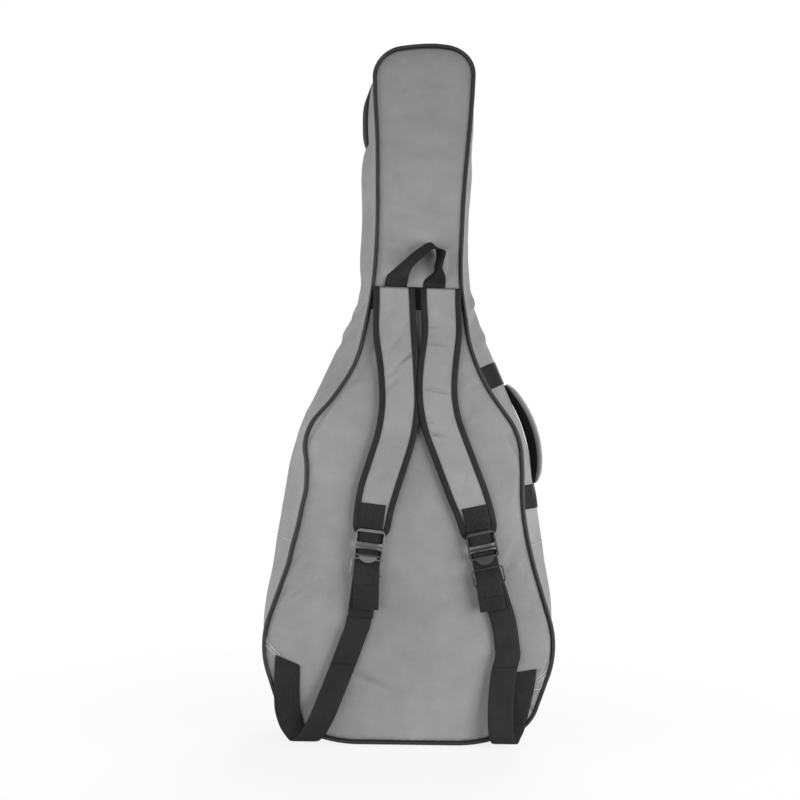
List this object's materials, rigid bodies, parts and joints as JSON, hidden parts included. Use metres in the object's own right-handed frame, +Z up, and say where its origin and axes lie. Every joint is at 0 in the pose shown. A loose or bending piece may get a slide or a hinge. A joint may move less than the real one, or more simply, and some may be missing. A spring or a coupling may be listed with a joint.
{
  "type": "padded gig bag",
  "caption": "Grey padded gig bag for an acoustic guitar with black piping, a fold-down front, shoulder straps with ladder-lock buckles, a hang loop, a side handle and a front pocket.",
  "frame": {"origin": "middle of the flat base that the bag stands on", "axes": "+Z up along the bag towards the headstock end, +Y towards the front panel that opens, +X towards the side with the carry handle"},
  "size_m": [0.4448, 0.1926, 1.0708],
  "materials": {
    "grey_cloth": "matt woven",
    "black_webbing": "ribbed",
    "black_binding": "satin twill",
    "foam": "open-cell foam",
    "lining": "smooth",
    "zipper_tape": "ribbed",
    "zipper_metal": "satin",
    "buckle_metal": "polished gunmetal",
    "black_plastic": "moulded"
  },
  "bodies": {
    "bag": {"back_panel_cover": "grey_cloth", "back_panel_foam": "foam", "back_panel_lining": "lining", "back_piping": "black_binding", "bottom_gusset_cover": "grey_cloth", "back_strip_cover": "grey_cloth", "bottom_gusset_foam": "foam", "back_strip_foam": "foam", "bottom_gusset_lining": "lining", "back_strip_lining": "lining", "zipper_tape_back": "zipper_tape", "zipper_coil_back": "zipper_tape", "front_lower_cover": "grey_cloth", "front_lower_foam": "foam", "front_lower_lining": "lining", "front_lower_piping": "black_binding", "pocket_gusset": "grey_cloth", "pocket_lower_panel": "grey_cloth", "pocket_zipper_back": "zipper_tape", "top_anchor_band": "black_webbing", "left_lower_webbing": "black_webbing", "left_anchor_tab": "grey_cloth", "right_lower_webbing": "black_webbing", "right_anchor_tab": "grey_cloth", "handle_band_upper": "black_webbing", "handle_band_lower": "black_webbing"},
    "lid": {"lid_cover": "grey_cloth", "lid_foam": "foam", "lid_lining": "lining", "lid_piping": "black_binding", "front_strip_cover": "grey_cloth", "front_strip_foam": "foam", "front_strip_lining": "lining", "zipper_tape_front": "zipper_tape", "zipper_coil_front": "zipper_tape"},
    "pocket_flap": {"pocket_flap": "grey_cloth", "pocket_zipper_front": "zipper_tape"},
    "hang_loop": {"hang_loop": "black_webbing"},
    "side_handle": {"side_handle_grip": "grey_cloth", "side_handle_webbing": "black_webbing"},
    "upper_slider": {"upper_slider": "zipper_metal"},
    "upper_pull": {"upper_pull": "zipper_metal"},
    "lower_slider": {"lower_slider": "zipper_metal"},
    "lower_pull": {"lower_pull": "zipper_metal"},
    "pocket_slider": {"pocket_slider": "zipper_metal"},
    "pocket_pull": {"pocket_pull": "zipper_metal"},
    "left_strap": {"left_strap_cover": "grey_cloth", "left_strap_foam": "foam", "left_strap_binding": "black_binding", "left_strap_patch": "black_webbing"},
    "left_buckle": {"left_ladder_lock": "buckle_metal", "left_keeper_ring": "black_plastic", "left_buckle_webbing": "black_webbing"},
    "right_strap": {"right_strap_cover": "grey_cloth", "right_strap_foam": "foam", "right_strap_binding": "black_binding", "right_strap_patch": "black_webbing"},
    "right_buckle": {"right_ladder_lock": "buckle_metal", "right_keeper_ring": "black_plastic", "right_buckle_webbing": "black_webbing"}
  },
  "joints": [
    {"name": "lid_fold", "type": "hinge", "parent": "bag", "child": "lid", "pos_m": [0, 0.05573, 0.3], "axis": [-1, 0, 0], "range_deg": [0, 100]},
    {"name": "pocket_flap_fold", "type": "hinge", "parent": "bag", "child": "pocket_flap", "pos_m": [0, 0.08753, 0.11279], "axis": [-1, 0, 0], "range_deg": [0, 120]},
    {"name": "upper_slider_run", "type": "slide", "parent": "bag", "child": "upper_slider", "axis": [-0.0299, -0.0228, 0.9993], "range_m": [0, 0.09]},
    {"name": "upper_pull_swing", "type": "hinge", "parent": "upper_slider", "child": "upper_pull", "pos_m": [-0.07934, 0.01033, 0.88762], "axis": [0, 0.9997, 0.0229], "range_deg": [0, 150]},
    {"name": "lower_slider_run", "type": "slide", "parent": "bag", "child": "lower_slider", "axis": [0.0299, 0.0228, -0.9993], "range_m": [0, 0.09]},
    {"name": "lower_pull_swing", "type": "hinge", "parent": "lower_slider", "child": "lower_pull", "pos_m": [-0.07838, 0.01106, 0.85563], "axis": [0, 0.9997, 0.0229], "range_deg": [0, 150]},
    {"name": "pocket_slider_run", "type": "slide", "parent": "bag", "child": "pocket_slider", "axis": [-1, 0, 0], "range_m": [0, 0.13]},
    {"name": "pocket_pull_swing", "type": "hinge", "parent": "pocket_slider", "child": "pocket_pull", "pos_m": [0.062, 0.07144, 0.27717], "axis": [0, -0.9995, -0.0309], "range_deg": [0, 150]},
    {"name": "left_strap_lift", "type": "hinge", "parent": "bag", "child": "left_strap", "pos_m": [0, -0.067, 0.686], "axis": [-1, 0, 0], "range_deg": [0, 35]},
    {"name": "left_buckle_swing", "type": "hinge", "parent": "left_strap", "child": "left_buckle", "pos_m": [-0.06136, -0.07885, 0.31919], "axis": [-0.9949, 0, 0.1013], "range_deg": [0, 35]},
    {"name": "right_strap_lift", "type": "hinge", "parent": "bag", "child": "right_strap", "pos_m": [0, -0.067, 0.686], "axis": [-1, 0, 0], "range_deg": [0, 35]},
    {"name": "right_buckle_swing", "type": "hinge", "parent": "right_strap", "child": "right_buckle", "pos_m": [0.10049, -0.07885, 0.31897], "axis": [-0.9749, 0, -0.2228], "range_deg": [0, 35]},
    {"name": "hang_loop_fold", "type": "hinge", "parent": "bag", "child": "hang_loop", "pos_m": [0, -0.0662, 0.688], "axis": [1, 0, 0], "range_deg": [0, 45]},
    {"name": "side_handle_tilt", "type": "hinge", "parent": "bag", "child": "side_handle", "pos_m": [0.17018, -0.0072, 0.46616], "axis": [-0.2893, -0.0148, 0.9571], "range_deg": [-20, 20]}
  ]
}
